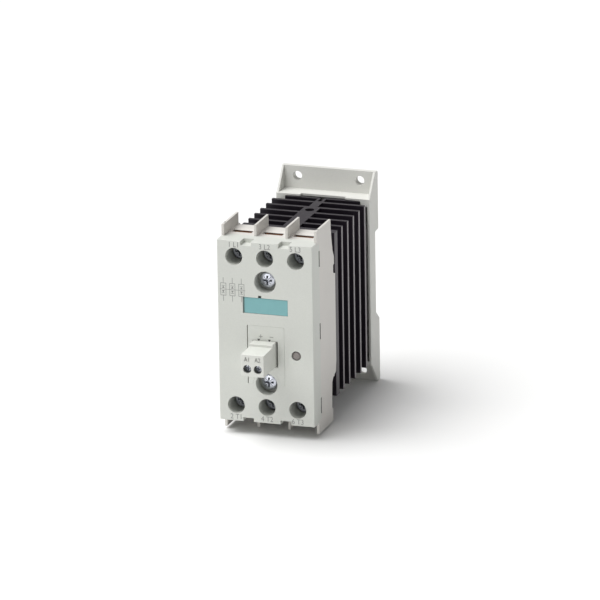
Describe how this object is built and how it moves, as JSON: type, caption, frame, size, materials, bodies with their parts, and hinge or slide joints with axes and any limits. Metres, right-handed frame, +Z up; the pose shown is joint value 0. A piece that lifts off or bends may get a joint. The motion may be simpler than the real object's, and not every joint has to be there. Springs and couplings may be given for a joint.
{
  "type": "solid state relay",
  "caption": "Three-pole solid state relay module with screw terminals and a pull-off control plug, on a black finned heatsink with a plastic rail and panel mounting plate.",
  "frame": {"origin": "middle of the flat seat that lies on the front of the 35 mm mounting rail", "axes": "+Z up as mounted, the front face with its screws faces -Y, +X to the right seen from the front"},
  "size_m": [0.045, 0.1121, 0.1002],
  "materials": {
    "cover_plastic": "fine spark-eroded light grey moulding",
    "housing_plastic": "fine spark-eroded light grey moulding",
    "plug_plastic": "smooth light grey moulding",
    "plate_plastic": "glass-filled light grey moulding",
    "marking": "plain teal marking plate",
    "lens": "smoked clear lens, unlit",
    "led": "yellow cast resin",
    "black_plastic": "black component plastic",
    "white_plastic": "white component plastic",
    "resistor_coat": "lacquered",
    "board": "solder resist over glass laminate",
    "ceramic": "alumina, matt",
    "silicon": "polished silicon",
    "copper": "stamped copper, slightly dulled",
    "contact_metal": "stamped and tinned brass",
    "zinc_steel": "bright zinc plating",
    "spring_steel": "plain spring steel",
    "foil": "soft heat-transfer foil",
    "black_anodised": "black anodised extrusion with sawn ends"
  },
  "bodies": {
    "housing": {"front_cover": "cover_plastic", "control_insert": "cover_plastic", "marking_plate": "marking", "indicator_lens": "lens", "indicator_led": "led", "control_board": "board", "control_header": "black_plastic", "header_pins": "contact_metal", "trigger_couplers": "white_plastic", "gate_resistors": "resistor_coat", "input_capacitor": "black_plastic", "control_chip": "black_plastic", "base_housing": "housing_plastic", "line_bar_1": "copper", "line_bar_2": "copper", "line_bar_3": "copper", "load_bar_1": "copper", "load_bar_2": "copper", "load_bar_3": "copper", "ceramic_1": "ceramic", "ceramic_2": "ceramic", "ceramic_3": "ceramic", "thyristor_dies": "silicon", "gate_pins": "contact_metal", "power_plate": "copper", "thermal_foil": "foil", "module_screws": "zinc_steel", "spring_washers": "spring_steel", "heatsink": "black_anodised", "mounting_plate": "plate_plastic", "plate_screws": "zinc_steel", "latch_spring": "spring_steel"},
    "rail_latch": {"rail_latch": "zinc_steel"},
    "control_plug": {"plug_housing": "plug_plastic", "plug_contacts": "contact_metal"},
    "line_clamp_1": {"line_clamp_1": "zinc_steel"},
    "line_screw_1": {"line_screw_1": "zinc_steel"},
    "line_clamp_2": {"line_clamp_2": "zinc_steel"},
    "line_screw_2": {"line_screw_2": "zinc_steel"},
    "line_clamp_3": {"line_clamp_3": "zinc_steel"},
    "line_screw_3": {"line_screw_3": "zinc_steel"},
    "load_clamp_1": {"load_clamp_1": "zinc_steel"},
    "load_screw_1": {"load_screw_1": "zinc_steel"},
    "load_clamp_2": {"load_clamp_2": "zinc_steel"},
    "load_screw_2": {"load_screw_2": "zinc_steel"},
    "load_clamp_3": {"load_clamp_3": "zinc_steel"},
    "load_screw_3": {"load_screw_3": "zinc_steel"},
    "plug_clamp_1": {"plug_clamp_1": "zinc_steel"},
    "plug_screw_1": {"plug_screw_1": "zinc_steel"},
    "plug_clamp_2": {"plug_clamp_2": "zinc_steel"},
    "plug_screw_2": {"plug_screw_2": "zinc_steel"}
  },
  "joints": [
    {"name": "line_clamp_1_slide", "type": "slide", "parent": "housing", "child": "line_clamp_1", "axis": [0, 1, 0], "range_m": [0, 0.0035]},
    {"name": "line_screw_1_turn", "type": "hinge", "parent": "line_clamp_1", "child": "line_screw_1", "pos_m": [-0.0146, -0.0802, 0.031], "axis": [0, 1, 0], "range_deg": [0, 1805]},
    {"name": "line_clamp_2_slide", "type": "slide", "parent": "housing", "child": "line_clamp_2", "axis": [0, 1, 0], "range_m": [0, 0.0035]},
    {"name": "line_screw_2_turn", "type": "hinge", "parent": "line_clamp_2", "child": "line_screw_2", "pos_m": [0, -0.0802, 0.031], "axis": [0, 1, 0], "range_deg": [0, 1805]},
    {"name": "line_clamp_3_slide", "type": "slide", "parent": "housing", "child": "line_clamp_3", "axis": [0, 1, 0], "range_m": [0, 0.0035]},
    {"name": "line_screw_3_turn", "type": "hinge", "parent": "line_clamp_3", "child": "line_screw_3", "pos_m": [0.0146, -0.0802, 0.031], "axis": [0, 1, 0], "range_deg": [0, 1805]},
    {"name": "load_clamp_1_slide", "type": "slide", "parent": "housing", "child": "load_clamp_1", "axis": [0, 1, 0], "range_m": [0, 0.0035]},
    {"name": "load_screw_1_turn", "type": "hinge", "parent": "load_clamp_1", "child": "load_screw_1", "pos_m": [-0.0146, -0.0802, -0.039], "axis": [0, 1, 0], "range_deg": [0, 1805]},
    {"name": "load_clamp_2_slide", "type": "slide", "parent": "housing", "child": "load_clamp_2", "axis": [0, 1, 0], "range_m": [0, 0.0035]},
    {"name": "load_screw_2_turn", "type": "hinge", "parent": "load_clamp_2", "child": "load_screw_2", "pos_m": [0, -0.0802, -0.039], "axis": [0, 1, 0], "range_deg": [0, 1805]},
    {"name": "load_clamp_3_slide", "type": "slide", "parent": "housing", "child": "load_clamp_3", "axis": [0, 1, 0], "range_m": [0, 0.0035]},
    {"name": "load_screw_3_turn", "type": "hinge", "parent": "load_clamp_3", "child": "load_screw_3", "pos_m": [0.0146, -0.0802, -0.039], "axis": [0, 1, 0], "range_deg": [0, 1805]},
    {"name": "plug_slide", "type": "slide", "parent": "housing", "child": "control_plug", "axis": [0, -1, 0], "range_m": [0, 0.012]},
    {"name": "plug_clamp_1_slide", "type": "slide", "parent": "control_plug", "child": "plug_clamp_1", "axis": [0, 1, 0], "range_m": [0, 0.0025]},
    {"name": "plug_screw_1_turn", "type": "hinge", "parent": "plug_clamp_1", "child": "plug_screw_1", "pos_m": [-0.00315, -0.1042, -0.0157], "axis": [0, 1, 0], "range_deg": [0, 1805]},
    {"name": "plug_clamp_2_slide", "type": "slide", "parent": "control_plug", "child": "plug_clamp_2", "axis": [0, 1, 0], "range_m": [0, 0.0025]},
    {"name": "plug_screw_2_turn", "type": "hinge", "parent": "plug_clamp_2", "child": "plug_screw_2", "pos_m": [0.00185, -0.1042, -0.0157], "axis": [0, 1, 0], "range_deg": [0, 1805]},
    {"name": "latch_slide", "type": "slide", "parent": "housing", "child": "rail_latch", "axis": [0, 0, -1], "range_m": [0, 0.0045], "stiffness_N_per_m": 600, "springref_m": -0.004, "deforming": ["latch_spring"]}
  ],
  "couplings": [
    {"joint": "line_screw_1_turn", "follows": "line_clamp_1_slide", "rad_per_m": 8976},
    {"joint": "line_screw_2_turn", "follows": "line_clamp_2_slide", "rad_per_m": 8976},
    {"joint": "line_screw_3_turn", "follows": "line_clamp_3_slide", "rad_per_m": 8976},
    {"joint": "load_screw_1_turn", "follows": "load_clamp_1_slide", "rad_per_m": 8976},
    {"joint": "load_screw_2_turn", "follows": "load_clamp_2_slide", "rad_per_m": 8976},
    {"joint": "load_screw_3_turn", "follows": "load_clamp_3_slide", "rad_per_m": 8976},
    {"joint": "plug_screw_1_turn", "follows": "plug_clamp_1_slide", "rad_per_m": 12566},
    {"joint": "plug_screw_2_turn", "follows": "plug_clamp_2_slide", "rad_per_m": 12566}
  ]
}
